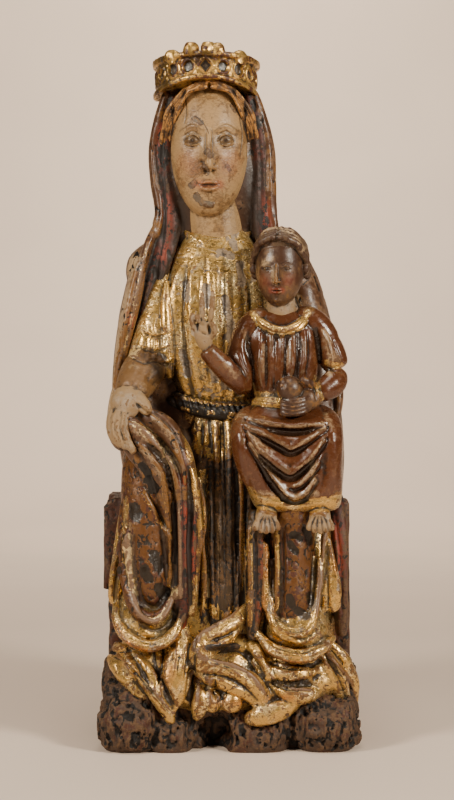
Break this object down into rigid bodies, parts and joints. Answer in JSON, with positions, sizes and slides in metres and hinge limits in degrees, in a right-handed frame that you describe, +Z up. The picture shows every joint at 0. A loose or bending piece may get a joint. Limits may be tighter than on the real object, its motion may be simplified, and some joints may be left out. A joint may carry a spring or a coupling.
{
  "type": "madonna and child statue",
  "caption": "Seated Virgin with the blessing Child on her left knee, carved, gilded and painted wood with worn base, free standing.",
  "frame": {"origin": "middle of the underside of the base", "axes": "+Z up, the figure faces -Y, +X to the viewer's right"},
  "size_m": [0.372, 0.3, 1],
  "materials": {
    "gilded_wood": "worn water gilding and painted gesso over carved wood, crackled, with losses down to the wood"
  },
  "bodies": {
    "root": {"statue": "gilded_wood"}
  },
  "joints": []
}
